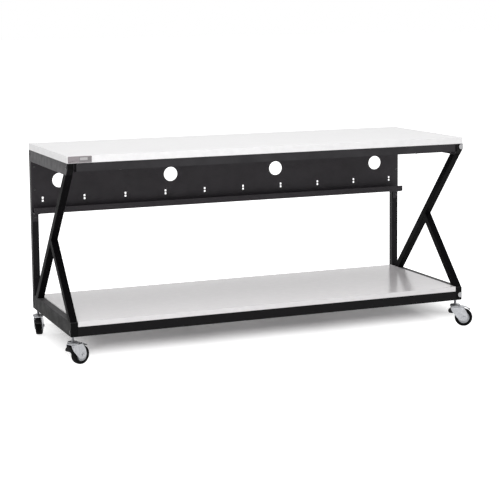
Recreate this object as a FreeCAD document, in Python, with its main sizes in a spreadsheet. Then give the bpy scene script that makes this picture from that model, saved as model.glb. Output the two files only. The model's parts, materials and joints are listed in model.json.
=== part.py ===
import FreeCAD, Part
import Sketcher
import os
import re

# Mobile assembly table: two welded side frames, cross rails, a laminated
# worktop and lower shelf, a cable panel with a tray, and four braked casters.
# Table axes while building: X left to right, Y front to rear, Z up from the floor.

os.makedirs("parts", exist_ok=True)
doc = FreeCAD.newDocument("assembly_table")

SIZES = {
    # steel frame
    "table_width": 1829, "table_depth": 650, "frame_height": 713,
    "tube_size": 30, "tube_wall": 2,
    "side_top_tall": 50, "side_base_tall": 60,
    "rail_top_tall": 34, "rail_base_tall": 40,
    "leg_top_inset": 19, "brace_front": 3, "brace_lean": 43.5,
    "cross_tall": 20,
    # boards
    "board_thick": 30, "edging_thick": 2, "shelf_thick": 22, "shelf_back_gap": 18,
    "shelf_clear": 1, "badge_wide": 100, "badge_margin": 1.5, "badge_thick": 1.5,
    "badge_inset": 4,
    # cable panel and tray
    "sheet_thick": 2, "panel_tall": 228, "tray_depth": 48, "lip_tall": 26,
    "panel_clear": 1, "cable_hole_size": 65, "cable_hole_drop": 88,
    "cable_hole_end": 128.05, "slot_drop": 169.5, "slot_end": 50.05,
    "slot_wide": 8, "slot_tall": 9, "slot_web": 4, "bridge_rise": 3, "bridge_lap": 1,
    "bracket_wide": 24, "bracket_tall": 40, "bracket_thick": 3,
    # casters
    "wheel_radius": 40, "tread_width": 28, "tyre_thick": 10,
    "trail": 38, "stem_inset": 32, "stem_size": 12, "stem_rise": 32,
    "wheel_room": 9, "side_room": 2.5, "crown_thick": 3, "plate_thick": 2.5,
    "race_radius": 24, "race_tall": 4, "race_gap": 0.4, "cup_tall": 6, "neck_tall": 16.6,
    "kingpin_size": 10, "axle_size": 8, "guard_wide": 26,
    "pedal_wide": 24, "pedal_pin_size": 5, "pin_back": -12, "pin_drop": 9,
    "turn_fl": 25, "turn_fr": -27, "turn_rl": 70, "turn_rr": 12,
    # fits and fixings
    "run_clear": 0.05, "hole_clear": 0.1, "head_tall": 2.5, "head_radius": 7,
    "bolt_size": 8, "screw_size": 5, "screw_head": 5, "bolt_edge": 22, "bolt_reach": 10,
    "frame_bolt_reach": 14, "nut_flats": 18, "nut_tall": 6,
    "cap_margin": 3.5, "cap_thick": 3, "cap_base_up": 12,
    # where the middle of the whole table's box lies, found at the end
    "origin_x": 0, "origin_y": 0,
}

# Sizes that follow from the ones above.
FOLLOWING = {
    "crown_up": "2 * wheel_radius + wheel_room + crown_thick",
    "caster_height": "crown_up + race_tall + race_gap + cup_tall + neck_tall + nut_tall",
    "fork_gap": "tread_width + 2 * side_room",
    "fork_wide": "fork_gap + 2 * plate_thick",
    "pin_up": "crown_up - crown_thick - pin_drop",
    "shelf_depth": "table_depth - shelf_back_gap",
    "badge_tall": "board_thick - 2 * badge_margin",
    "panel_top": "caster_height + frame_height - side_top_tall - panel_clear",
    "tray_low": "panel_top - panel_tall",
    "slot_up": "panel_top - slot_drop",
    "cable_hole_up": "panel_top - cable_hole_drop",
    "cable_hole_pitch": "(table_width - 2 * cable_hole_end) / 3",
    "slot_pitch": "(table_width - 2 * slot_end) / 9",
    "cap_size": "tube_size - 2 * cap_margin",
}

sheet = doc.addObject("Spreadsheet::Sheet", "sheet")
for row, (alias, size) in enumerate(SIZES.items(), 1):
    sheet.set("A%d" % row, alias)
    sheet.set("B%d" % row, str(size))
    sheet.setAlias("B%d" % row, alias)
doc.recompute()

finished = []


def formula(text):
    """Write the sheet's name before each size, and spell out a size that follows."""
    def named(found):
        word = found.group(0)
        if word in FOLLOWING:
            return "(" + formula(FOLLOWING[word]) + ")"
        return "sheet." + word if word in SIZES else word
    return re.sub(r"[a-z_]+", named, str(text))


def number(text):
    return float(sheet.evalExpression(formula(text)))


def place(item, x="0", y="0", z="0", axis=None, turn="0"):
    if axis:
        item.Placement = FreeCAD.Placement(
            FreeCAD.Vector(0, 0, 0), FreeCAD.Rotation(FreeCAD.Vector(*axis), 10))
        item.setExpression("Placement.Rotation.Angle", formula(turn))
    item.setExpression("Placement.Base.x", formula(x))
    item.setExpression("Placement.Base.y", formula(y))
    item.setExpression("Placement.Base.z", formula(z))
    return item


def block(x, y, z, long, wide, tall, axis=None, turn="0"):
    item = doc.addObject("Part::Box", "block")
    item.setExpression("Length", formula(long))
    item.setExpression("Width", formula(wide))
    item.setExpression("Height", formula(tall))
    return place(item, x, y, z, axis, turn)


def rod(x, y, z, radius, tall, axis=None, turn="0"):
    item = doc.addObject("Part::Cylinder", "rod")
    item.setExpression("Radius", formula(radius))
    item.setExpression("Height", formula(tall))
    return place(item, x, y, z, axis, turn)


def cone(z, low, high, tall):
    item = doc.addObject("Part::Cone", "cone")
    item.setExpression("Radius1", formula(low))
    item.setExpression("Radius2", formula(high))
    item.setExpression("Height", formula(tall))
    return place(item, z=z)


def cut(base, tool):
    item = doc.addObject("Part::Cut", "cut")
    item.Base = base
    item.Tool = tool
    return item


def common(base, tool):
    item = doc.addObject("Part::Common", "common")
    item.Base = base
    item.Tool = tool
    return item


def fuse(items):
    item = doc.addObject("Part::MultiFuse", "fuse")
    item.Shapes = items
    return item


def group(items):
    item = doc.addObject("Part::Compound", "group")
    item.Links = items
    return item


def finish(item, label, x="0", y="0", z="0", turn=None):
    """Name a piece and set it on the table's own origin."""
    axis = (0, 0, 1) if turn else None
    place(item, "origin_x + " + x, "origin_y + " + y, z, axis, turn or "0")
    item.Label = label
    finished.append(item)
    return item


def outline(owner, role, corners):
    """A closed outline whose every corner is held by two driven distances."""
    sketch = owner.newObject("Sketcher::SketchObject", "outline")
    plane = [face for face in owner.Origin.OriginFeatures if face.Role == role][0]
    sketch.AttachmentSupport = [(plane, "")]
    sketch.MapMode = "FlatFace"
    points = [FreeCAD.Vector(number(u), number(v), 0) for u, v in corners]
    count = len(points)
    for k in range(count):
        sketch.addGeometry(Part.LineSegment(points[k], points[(k + 1) % count]), False)
    for k in range(count):
        sketch.addConstraint(Sketcher.Constraint("Coincident", k, 2, (k + 1) % count, 1))
    for k, (u, v) in enumerate(corners):
        for kind, size, value in (("DistanceX", u, points[k].x), ("DistanceY", v, points[k].y)):
            place_id = sketch.addConstraint(Sketcher.Constraint(kind, -1, 1, k, 1, value))
            sketch.setExpression("Constraints[%d]" % place_id, formula(size))
    return sketch


def profile_body(name, role, corners, thick):
    """A body padded from one outline, centred on the outline's plane."""
    body = doc.addObject("PartDesign::Body", name)
    pad = body.newObject("PartDesign::Pad", name + "_pad")
    sketch = outline(body, role, corners)
    pad.Profile = sketch
    pad.Midplane = True
    pad.setExpression("Length", formula(thick))
    body.Tip = pad
    sketch.Visibility = False
    return body


def turned_body(name, corners):
    """A body turned from one half section: distance from the axis, place along it."""
    body = doc.addObject("PartDesign::Body", name)
    ring = body.newObject("PartDesign::Revolution", name + "_turn")
    sketch = outline(body, "XZ_Plane", corners)
    ring.Profile = sketch
    ring.ReferenceAxis = (sketch, ["V_Axis"])
    ring.Angle = 360
    body.Tip = ring
    sketch.Visibility = False
    return body


# ---- side frames -----------------------------------------------------------
FRAME_TOP = "caster_height + frame_height"
RAIL_UNDER = "caster_height + frame_height - side_top_tall"
RAIL_OVER = "caster_height + side_base_tall"
LEG_LEAN = "atan((table_depth - leg_top_inset) / frame_height)"
REACH = "4 * tube_size"
SIDES = (("left", "0"), ("right", "table_width - tube_size"))


def leg_slab(x, wide, low, thick):
    """A long block lying along the diagonal; low is measured from its rear face."""
    return block(
        x,
        "table_depth + %s * sin(%s) + (%s) * cos(%s)" % (REACH, LEG_LEAN, low, LEG_LEAN),
        "caster_height - %s * cos(%s) + (%s) * sin(%s)" % (REACH, LEG_LEAN, low, LEG_LEAN),
        wide, thick, "frame_height / cos(%s) + 2 * %s" % (LEG_LEAN, REACH),
        (1, 0, 0), LEG_LEAN)


def brace_slab(x, wide, low, thick):
    """A long block lying along the brace; low is measured from its front face."""
    return block(
        x,
        "brace_front - %s * sin(brace_lean) + (%s) * cos(brace_lean)" % (REACH, low),
        RAIL_OVER + " - %s * cos(brace_lean) - (%s) * sin(brace_lean)" % (REACH, low),
        wide, thick, "frame_height + 2 * " + REACH, (1, 0, 0), "-brace_lean")


def between_rails(x):
    return block(x, "0", RAIL_OVER, "tube_size", "table_depth - tube_size",
                 RAIL_UNDER + " - (" + RAIL_OVER + ")")


def box_tube(x, y, z, long, wide, tall, run):
    """A square or oblong tube whose hollow runs along one axis."""
    wall = {"x": "0", "y": "0", "z": "0"}
    sizes = {"x": long, "y": wide, "z": tall}
    for way in wall:
        if way != run:
            wall[way] = "tube_wall"
            sizes[way] = "(%s) - 2 * tube_wall" % sizes[way]
    hollow = block("%s + %s" % (x, wall["x"]), "%s + %s" % (y, wall["y"]),
                   "%s + %s" % (z, wall["z"]), sizes["x"], sizes["y"], sizes["z"])
    return cut(block(x, y, z, long, wide, tall), hollow)


RAIL_BOLT_Y = ("tube_size / 2", "table_depth - tube_size / 2")
PANEL_BOLT_Z = ("panel_top - bolt_edge", "slot_up + 2 * bolt_edge")
BRACKET_BOLT_Z = "tray_low - bracket_tall / 2"
BOLT_TOP_Z = "caster_height + frame_height - rail_top_tall / 2"
BOLT_BASE_Z = "caster_height + rail_base_tall / 2"
STEM_Y = ("stem_inset", "table_depth - stem_inset")


def rail_bolt_holes(x, z):
    return [rod(x + " - tube_wall", y, z, "bolt_size / 2 + hole_clear",
                "tube_size + 2 * tube_wall", (0, 1, 0), "90") for y in RAIL_BOLT_Y]


for side, edge in SIDES:
    post = box_tube(edge, "table_depth - tube_size", RAIL_OVER, "tube_size", "tube_size",
                    RAIL_UNDER + " - (" + RAIL_OVER + ")", "z")
    post_holes = [
        rod(edge + " + tube_size / 2", "table_depth - tube_size - 1", height,
            "screw_size / 2 + hole_clear", "tube_wall + 2", (1, 0, 0), "-90")
        for height in PANEL_BOLT_Z + (BRACKET_BOLT_Z,)]
    finish(cut(post, group(post_holes)), side + "_rear_post")

    leg = cut(leg_slab(edge, "tube_size", "-tube_size", "tube_size"),
              leg_slab(edge + " + tube_wall", "tube_size - 2 * tube_wall",
                       "tube_wall - tube_size", "tube_size - 2 * tube_wall"))
    finish(common(leg, between_rails(edge)), side + "_diagonal_leg")

    brace = cut(brace_slab(edge, "tube_size", "0", "tube_size"),
                brace_slab(edge + " + tube_wall", "tube_size - 2 * tube_wall",
                           "tube_wall", "tube_size - 2 * tube_wall"))
    above_leg = leg_slab(edge + " - 1", "tube_size + 2", "-tube_size", "frame_height")
    finish(cut(common(brace, between_rails(edge)), above_leg), side + "_front_brace")

    top = box_tube(edge, "0", RAIL_UNDER, "tube_size", "table_depth", "side_top_tall", "y")
    nose = leg_slab(edge + " - 1", "tube_size + 2", "-3 * tube_size", "2 * tube_size")
    finish(cut(top, group([nose] + rail_bolt_holes(edge, BOLT_TOP_Z))),
           side + "_top_rail")

    base = box_tube(edge, "0", "caster_height", "tube_size", "table_depth",
                    "side_base_tall", "y")
    stem_holes = [rod(edge + " + tube_size / 2", y, "caster_height - 1",
                      "stem_size / 2 + hole_clear", "tube_wall + 2") for y in STEM_Y]
    finish(cut(base, group(stem_holes + rail_bolt_holes(edge, BOLT_BASE_Z))),
           side + "_bottom_rail")

# ---- cross rails -----------------------------------------------------------
SPAN = "table_width - 2 * tube_size"
SCREW_X = ("table_width / 8", "table_width / 2", "7 * table_width / 8")
SCREW_Y = ("tube_size / 2", "table_depth - tube_size / 2")
SHELF_SCREW_Y = ("tube_size / 2", "shelf_depth - edging_thick - screw_size")


def screw_holes(under, long, y_rows):
    return [rod(x, y, under, "screw_size / 2 + hole_clear", long)
            for x in SCREW_X for y in y_rows]


TOP_SCREW_LOW = FRAME_TOP + " - rail_top_tall"
TOP_SCREW_LONG = "rail_top_tall + 2 * board_thick / 3"
BASE_SCREW_LONG = "rail_base_tall + 2 * shelf_thick / 3"

for label, y in (("front_top_rail", "0"), ("rear_top_rail", "table_depth - tube_size")):
    rail = box_tube("tube_size", y, TOP_SCREW_LOW, SPAN, "tube_size", "rail_top_tall", "x")
    holes = screw_holes(TOP_SCREW_LOW + " - 1", "rail_top_tall + 2", SCREW_Y)
    finish(cut(rail, group(holes)), label)

for label, y in (("front_bottom_rail", "0"),
                 ("rear_bottom_rail", "table_depth - tube_size")):
    rail = box_tube("tube_size", y, "caster_height", SPAN, "tube_size", "rail_base_tall", "x")
    holes = screw_holes("caster_height - 1", "rail_base_tall + 2", SHELF_SCREW_Y)
    finish(cut(rail, group(holes)), label)

for label, under in (("top_cross_rails", FRAME_TOP + " - cross_tall"),
                     ("shelf_cross_rails", "caster_height + rail_base_tall - cross_tall")):
    pair = [box_tube("%d * table_width / 3 - tube_size / 2" % third, "tube_size", under,
                     "tube_size", "table_depth - 2 * tube_size", "cross_tall", "y")
            for third in (1, 2)]
    finish(group(pair), label)

# ---- boards ----------------------------------------------------------------
def board(x, y, z, long, wide, thick, name):
    """A core with a separate edging band round its four sides."""
    core = block("%s + edging_thick" % x, "%s + edging_thick" % y, z,
                 "(%s) - 2 * edging_thick" % long, "(%s) - 2 * edging_thick" % wide, thick)
    gap = block("%s + edging_thick" % x, "%s + edging_thick" % y, z,
                "(%s) - 2 * edging_thick" % long, "(%s) - 2 * edging_thick" % wide, thick)
    band = cut(block(x, y, z, long, wide, thick), gap)
    finish(band, name + "_edging")
    return core


worktop = board("0", "0", FRAME_TOP, "table_width", "table_depth", "board_thick", "worktop")
finish(cut(worktop, group(screw_holes(FRAME_TOP + " - 1", "2 * board_thick / 3 + 1",
                                      SCREW_Y))), "worktop")

SHELF_UNDER = "caster_height + rail_base_tall"
shelf = board("tube_size + shelf_clear", "0", SHELF_UNDER, SPAN + " - 2 * shelf_clear",
              "shelf_depth", "shelf_thick", "shelf")
finish(cut(shelf, group(screw_holes(SHELF_UNDER + " - 1", "2 * shelf_thick / 3 + 1",
                                    SHELF_SCREW_Y))), "lower_shelf")

badge = block("badge_inset", "-badge_thick", FRAME_TOP + " + (board_thick - badge_tall) / 2",
              "badge_wide", "badge_thick", "badge_tall")
finish(group([badge]), "blank_badge_plate")

# ---- cable panel with its tray ---------------------------------------------
FACE = "(table_depth - tube_size)"
TRAY_FRONT = FACE + " - sheet_thick - tray_depth"
panel = profile_body("panel_profile", "YZ_Plane", (
    (FACE, "panel_top"), (FACE, "tray_low"),
    (TRAY_FRONT, "tray_low"), (TRAY_FRONT, "tray_low + lip_tall"),
    (TRAY_FRONT + " + sheet_thick", "tray_low + lip_tall"),
    (TRAY_FRONT + " + sheet_thick", "tray_low + sheet_thick"),
    (FACE + " - sheet_thick", "tray_low + sheet_thick"),
    (FACE + " - sheet_thick", "panel_top")), "table_width")
place(panel, "table_width / 2")

THROUGH = "3 * sheet_thick"
PANEL_FRONT = FACE + " - 2 * sheet_thick"
openings = []
for step in (-1.5, -0.5, 0.5, 1.5):
    openings.append(rod("table_width / 2 + %s * cable_hole_pitch" % step, PANEL_FRONT,
                        "cable_hole_up", "cable_hole_size / 2", THROUGH,
                        (1, 0, 0), "-90"))
bridges = []
for slot in range(10):
    middle = "table_width / 2 + (%s) * slot_pitch" % (slot - 4.5)
    for low in ("slot_web / 2", "-slot_web / 2 - slot_tall"):
        openings.append(block(middle + " - slot_wide / 2", PANEL_FRONT,
                              "slot_up + (%s)" % low,
                              "slot_wide", THROUGH, "slot_tall"))
    bridges.append(block(middle + " - slot_wide / 2 - bridge_lap",
                         FACE + " - sheet_thick - bridge_rise", "slot_up - slot_web / 2",
                         "slot_wide + 2 * bridge_lap", "bridge_rise", "slot_web"))
for side, edge in SIDES:
    for height in PANEL_BOLT_Z:
        openings.append(rod(edge + " + tube_size / 2", PANEL_FRONT, height,
                            "screw_size / 2 + hole_clear", THROUGH, (1, 0, 0), "-90"))
    openings.append(rod(edge + " + tube_size / 2", FACE + " - tray_depth / 2",
                        "tray_low - 1", "screw_size / 2 + hole_clear",
                        "sheet_thick + 2"))
finish(fuse([cut(panel, group(openings))] + bridges), "cable_panel")

for side, edge in SIDES:
    middle = edge + " + tube_size / 2"
    angle = profile_body(side + "_bracket_profile", "YZ_Plane", (
        (FACE, "tray_low"),
        (FACE, "tray_low - bracket_tall"),
        (FACE + " - bracket_thick", "tray_low - bracket_tall"),
        (FACE + " - bracket_thick", "tray_low - bracket_thick"),
        (FACE + " - 0.8 * tray_depth", "tray_low - bracket_thick"),
        (FACE + " - 0.8 * tray_depth", "tray_low")), "bracket_wide")
    place(angle, middle)
    holes = [
        rod(middle, FACE + " - 2 * bracket_thick", "tray_low - bracket_tall / 2",
            "screw_size / 2 + hole_clear", "3 * bracket_thick", (1, 0, 0), "-90"),
        rod(middle, FACE + " - tray_depth / 2", "tray_low - 2 * bracket_thick",
            "screw_size / 2 + hole_clear", "3 * bracket_thick")]
    finish(cut(angle, group(holes)), side + "_tray_bracket")

# ---- fixings ---------------------------------------------------------------
def upward_screw(x, y, seat, long):
    """A pan-head screw driven up from below its seat."""
    return fuse([rod(x, y, seat + " - head_tall", "screw_head", "head_tall"),
                 rod(x, y, seat, "screw_size / 2", long)])


def rearward_bolt(x, y, z, long):
    """A button-head bolt driven towards the rear from its seat."""
    return fuse([rod(x, y + " - head_tall", z, "screw_head", "head_tall", (1, 0, 0), "-90"),
                 rod(x, y, z, "screw_size / 2", long, (1, 0, 0), "-90")])


def sideways_bolt(x, way, y, z):
    """A large button-head bolt through a side rail into a cross rail's end."""
    head = x + " - head_tall" if way > 0 else x
    shank = x if way > 0 else x + " - tube_size - frame_bolt_reach"
    return fuse([rod(head, y, z, "head_radius", "head_tall", (0, 1, 0), "90"),
                 rod(shank, y, z, "bolt_size / 2", "tube_size + frame_bolt_reach",
                     (0, 1, 0), "90")])


finish(group([upward_screw(x, y, TOP_SCREW_LOW, TOP_SCREW_LONG + " - 1")
              for x in SCREW_X for y in SCREW_Y]), "worktop_screws")
finish(group([upward_screw(x, y, "caster_height", BASE_SCREW_LONG + " - 1")
              for x in SCREW_X for y in SHELF_SCREW_Y]), "shelf_screws")

panel_bolts = []
bracket_bolts = []
for side, edge in SIDES:
    middle = edge + " + tube_size / 2"
    for height in PANEL_BOLT_Z:
        panel_bolts.append(rearward_bolt(middle, FACE + " - sheet_thick", height,
                                         "sheet_thick + bolt_reach"))
    bracket_bolts.append(rearward_bolt(middle, FACE + " - bracket_thick", BRACKET_BOLT_Z,
                                       "bracket_thick + bolt_reach"))
    bracket_bolts.append(upward_screw(middle, FACE + " - tray_depth / 2",
                                      "tray_low - bracket_thick",
                                      "bracket_thick + 2 * sheet_thick"))
finish(group(panel_bolts), "panel_bolts")
finish(group(bracket_bolts), "bracket_bolts")

frame_bolts = []
for height in (BOLT_TOP_Z, BOLT_BASE_Z):
    for y in RAIL_BOLT_Y:
        frame_bolts.append(sideways_bolt("0", 1, y, height))
        frame_bolts.append(sideways_bolt("table_width", -1, y, height))
finish(group(frame_bolts), "frame_bolts")

# Plugs close the open ends of the side rails.  They stop short of the bolts.
PLUG_WIDE = "tube_size - 2 * tube_wall - 2 * hole_clear"
plugs = []
for side, edge in SIDES:
    inner = edge + " + tube_wall + hole_clear"
    for low, tall in ((RAIL_UNDER, "side_top_tall"), ("caster_height", "side_base_tall")):
        up = low + " + tube_wall + hole_clear"
        high = tall + " - 2 * tube_wall - 2 * hole_clear"
        deep = "tube_size / 2 - bolt_size / 2 - 2"
        front = block(inner, "0", up, PLUG_WIDE, deep, high)
        if tall == "side_top_tall":
            nose = leg_slab(edge + " - 1", "tube_size + 2", "-3 * tube_size - 3",
                            "2 * tube_size + 3")
            front = cut(front, nose)
        plugs.append(front)
        plugs.append(block(inner, "table_depth - (%s)" % deep, up, PLUG_WIDE, deep, high))
finish(group(plugs), "rail_plugs")

CAP_LOW = (FRAME_TOP + " - cap_size - cap_margin / 2", "caster_height + cap_base_up")
caps = [block("table_width - tube_size + cap_margin", "-cap_thick", low,
              "cap_size", "cap_thick", "cap_size") for low in CAP_LOW]
finish(group(caps), "corner_caps")

# ---- casters ---------------------------------------------------------------
CASTERS = (("front_left", "tube_size / 2", STEM_Y[0], "turn_fl"),
           ("front_right", "table_width - tube_size / 2", STEM_Y[0], "turn_fr"),
           ("rear_left", "tube_size / 2", STEM_Y[1], "turn_rl"),
           ("rear_right", "table_width - tube_size / 2", STEM_Y[1], "turn_rr"))
CUP_LOW = "crown_up + race_tall + race_gap"


def nut(z, bore):
    """A hexagon nut on the local Z axis."""
    item = doc.addObject("Part::Prism", "nut")
    item.Polygon = 6
    item.setExpression("Circumradius", formula("nut_flats / 2 / cos(30)"))
    item.setExpression("Height", formula("nut_tall"))
    place(item, z=z, axis=(0, 0, 1), turn="30")
    return cut(item, rod("0", "0", z + " - 1", bore, "nut_tall + 2"))


def across(x, z, radius, long):
    """A rod centred across the fork."""
    return rod(x, "(%s) / 2" % long, z, radius, long, (1, 0, 0), "90")


nuts = []
for corner, x, y, turn in CASTERS:
    for z in ("caster_height - nut_tall", "caster_height + tube_wall"):
        nuts.append(place(group([nut(z, "stem_size / 2 + run_clear")]), x, y))
finish(group(nuts), "stem_nuts")

for corner, x, y, turn in CASTERS:
    name = "caster_" + corner
    stem = fuse([
        rod("0", "0", "crown_up - crown_thick - 0.8", "kingpin_size / 2",
            "crown_thick + race_tall + race_gap + 1.8"),
        rod("0", "0", "crown_up - crown_thick - 4", "kingpin_size / 2 + 3", "3.6"),
        cone(CUP_LOW, "race_radius", "race_radius - 8", "cup_tall"),
        rod("0", "0", CUP_LOW, "stem_size / 2", "caster_height + stem_rise - (%s)" % CUP_LOW)])
    finish(stem, name + "_stem", x, y, turn=turn)

    side_plate = profile_body(name + "_plate", "XZ_Plane", (
        ("-race_radius - 1", "crown_up"), ("-race_radius - 1", "crown_up - 14"),
        ("-race_radius + 8", "crown_up - 27"), ("trail - 22", "wheel_radius - 10"),
        ("trail - 8", "wheel_radius - 15"), ("trail + 8", "wheel_radius - 15"),
        ("trail + 15", "wheel_radius - 6"), ("trail + 13", "wheel_radius + 8"),
        ("trail + 1", "wheel_radius + 34"), ("trail - 4", "crown_up")), "fork_wide")
    room = block("-race_radius - 40", "-fork_gap / 2", "0", "trail + 160", "fork_gap",
                 "crown_up - crown_thick")
    guard = profile_body(name + "_guard", "XZ_Plane", (
        ("trail - 10", "crown_up"), ("trail + 8", "crown_up - 1.5"),
        ("trail + 20", "crown_up - 7"), ("trail + 27", "crown_up - 15"),
        ("trail + 25", "crown_up - 16.5"), ("trail + 18.5", "crown_up - 9"),
        ("trail + 7.5", "crown_up - 4"), ("trail - 10", "crown_up - 2.8")), "guard_wide")
    race = rod("0", "0", "crown_up", "race_radius", "race_tall")
    pin = across("pin_back", "pin_up", "pedal_pin_size / 2", "fork_wide")
    bores = group([
        rod("0", "0", "crown_up - crown_thick - 1", "kingpin_size / 2 + run_clear",
            "crown_thick + race_tall + 2"),
        across("trail", "wheel_radius", "axle_size / 2 + hole_clear", "fork_wide + 4")])
    fork = cut(fuse([cut(side_plate, room), guard, race, pin]), bores)
    finish(fork, name + "_fork", x, y, turn=turn)

    bolt_end = "(fork_wide / 2 + head_tall + 2)"
    axle = fuse([across("trail", "wheel_radius", "axle_size / 2", "2 * " + bolt_end),
                 rod("trail", "-fork_wide / 2", "wheel_radius", "axle_size / 2 + 3",
                     "head_tall + 2", (1, 0, 0), "90"),
                 rod("trail", "fork_wide / 2", "wheel_radius", "axle_size / 2 + 3",
                     "head_tall + 2", (1, 0, 0), "-90")])
    finish(axle, name + "_axle", x, y, turn=turn)

    hub = "wheel_radius - tyre_thick"
    half = "tread_width / 2"
    tyre = turned_body(name + "_tyre_section", (
        (hub, "-%s + 1" % half), ("wheel_radius - 4", "-" + half),
        ("wheel_radius - 1.2", "-%s + 2.5" % half), ("wheel_radius", "-%s + 7" % half),
        ("wheel_radius", half + " - 7"), ("wheel_radius - 1.2", half + " - 2.5"),
        ("wheel_radius - 4", half), (hub, half + " - 1")))
    place(tyre, "trail", "0", "wheel_radius", (1, 0, 0), "90")
    finish(group([tyre]), name + "_tyre", x, y, turn=turn)

    bore = "axle_size / 2 + run_clear"
    centre = turned_body(name + "_hub_section", (
        (bore, "-fork_gap / 2 + 0.3"), ("axle_size / 2 + 5", "-fork_gap / 2 + 0.3"),
        ("axle_size / 2 + 6", "-%s + 3" % half), (hub + " - 6", "-%s + 2" % half),
        (hub, "-%s + 2" % half), (hub, half + " - 2"), (hub + " - 6", half + " - 2"),
        ("axle_size / 2 + 6", half + " - 3"), ("axle_size / 2 + 5", "fork_gap / 2 - 0.3"),
        (bore, "fork_gap / 2 - 0.3")))
    place(centre, "trail", "0", "wheel_radius", (1, 0, 0), "90")
    finish(group([centre]), name + "_hub", x, y, turn=turn)

    lever = profile_body(name + "_pedal_section", "XZ_Plane", (
        ("pin_back + 1", "pin_up + 5"), ("pin_back - 16", "pin_up - 3"),
        ("pin_back - 20", "pin_up - 8"), ("pin_back - 17", "pin_up - 11"),
        ("pin_back - 4", "pin_up - 5"), ("pin_back + 6", "pin_up - 16"),
        ("pin_back + 10", "pin_up - 14"), ("pin_back + 5", "pin_up + 1")), "pedal_wide")
    pin_hole = across("pin_back", "pin_up", "pedal_pin_size / 2 + run_clear",
                      "pedal_wide + 4")
    finish(cut(lever, pin_hole), name + "_pedal", x, y, turn=turn)

doc.recompute()

# The origin is the middle of the whole table's box, on the floor.
box = FreeCAD.BoundBox()
for item in finished:
    box.add(item.Shape.BoundBox)
cells = {alias: "B%d" % row for row, alias in enumerate(SIZES, 1)}
sheet.set(cells["origin_x"], "%.6f" % (-box.Center.x))
sheet.set(cells["origin_y"], "%.6f" % (-box.Center.y))
doc.recompute()

for item in doc.Objects:
    if "Invalid" in item.State or "Error" in item.State:
        raise RuntimeError("%s is not built" % item.Label)
for item in finished:
    if item.Shape.isNull() or not item.Shape.isValid():
        raise RuntimeError("%s has no valid solid" % item.Label)
    item.Shape.exportStep("parts/%s.step" % item.Label)
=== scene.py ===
import json
import math
import bpy
import bmesh
from mathutils import Matrix, Vector


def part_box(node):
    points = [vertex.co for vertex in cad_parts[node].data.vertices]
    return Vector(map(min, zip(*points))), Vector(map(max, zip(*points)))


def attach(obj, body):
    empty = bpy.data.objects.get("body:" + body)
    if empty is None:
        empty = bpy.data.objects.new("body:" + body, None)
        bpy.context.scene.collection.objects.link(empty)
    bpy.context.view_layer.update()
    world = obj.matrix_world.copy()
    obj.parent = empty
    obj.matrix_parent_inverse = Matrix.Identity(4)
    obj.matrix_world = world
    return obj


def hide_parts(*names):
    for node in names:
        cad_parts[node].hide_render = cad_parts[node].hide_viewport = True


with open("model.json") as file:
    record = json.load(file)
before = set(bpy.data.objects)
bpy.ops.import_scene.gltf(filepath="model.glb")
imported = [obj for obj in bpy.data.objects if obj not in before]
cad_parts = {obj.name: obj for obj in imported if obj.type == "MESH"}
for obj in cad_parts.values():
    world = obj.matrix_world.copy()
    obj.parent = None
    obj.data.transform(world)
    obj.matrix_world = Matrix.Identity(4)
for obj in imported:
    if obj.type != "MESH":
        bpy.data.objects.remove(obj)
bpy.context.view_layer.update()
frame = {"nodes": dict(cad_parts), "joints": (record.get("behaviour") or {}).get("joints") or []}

# ---- Side frames ------------------------------------------------------------
# Each side is a post, a diagonal leg, a short front brace and two rails. They are
# sawn from steel tube with rolled corners, welded into one piece and powder
# coated black. The posts and top rails get lighter tones of that black, painted light
# where the lamps fall, and the bottom rail's top face is painted paler as a painted
# sheen of the light from above.
FRAME_BODY = "frame"
COAT_BLACK = (0.0022, 0.002, 0.0024, 1)
# Painted light: the next two colours are lighter tones of the one black coat, for the posts and
# the top rails.
COAT_POST = (0.008, 0.0074, 0.0083, 1)
COAT_PAINTED_LIT = (0.0175, 0.0155, 0.0185, 1)
COAT_PAINTED_SHEEN = (0.083, 0.081, 0.084, 1)
PAINTED_SHEEN_DEPTH = 0.001
COAT_CLOUDS, COAT_PEEL, PEEL_DEPTH = 9, 900, 0.0001
COAT_TONES = (0.85, 1.2)
COAT_SWING = (0.05, 0.06)
RELIEF = 0.3
TUBE_CORNER = 0.0015
CORNER_STEPS = 3
SHARP = math.radians(35)
FLAT = math.radians(1)
WELD_GAP = 0.00001
TOUCHING = 0.0001
PARALLEL = 0.999


def step(tree, kind, inputs=None, **options):
    """Add one node to a tree, set its options, and fill its inputs or link them."""
    node = tree.nodes.new(kind)
    for option, value in options.items():
        setattr(node, option, value)
    for socket, value in (inputs or {}).items():
        if isinstance(value, bpy.types.NodeSocket):
            tree.links.new(value, node.inputs[socket])
        else:
            node.inputs[socket].default_value = value
    return node


def new_material(name, colour, roughness, metallic=0, gloss=0.5):
    """A fresh material and its tree, with the plain values set on the shader."""
    material = bpy.data.materials.new(name)
    material.use_nodes = True
    tree = material.node_tree
    shader = tree.nodes["Principled BSDF"]
    shader.inputs["Base Color"].default_value = colour
    shader.inputs["Roughness"].default_value = roughness
    shader.inputs["Metallic"].default_value = metallic
    shader.inputs["Specular IOR Level"].default_value = gloss
    return material, tree, shader


def grain(tree, scale, detail=3, stretch=(1, 1, 1)):
    """Noise on the object's own coordinates, finer along the axes that stretch names."""
    where = step(tree, "ShaderNodeTexCoord")
    mapping = step(tree, "ShaderNodeMapping",
                   {"Vector": where.outputs["Object"], "Scale": stretch})
    noise = step(tree, "ShaderNodeTexNoise",
                 {"Vector": mapping.outputs["Vector"], "Scale": scale, "Detail": detail})
    return noise.outputs["Fac"]


def spread(tree, value, low, high, start=0.3, end=0.7):
    """Map the useful middle of a noise onto a range."""
    ramp = step(tree, "ShaderNodeMapRange",
                {"Value": value, "From Min": start, "From Max": end, "To Min": low,
                 "To Max": high})
    return ramp.outputs["Result"]


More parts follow.
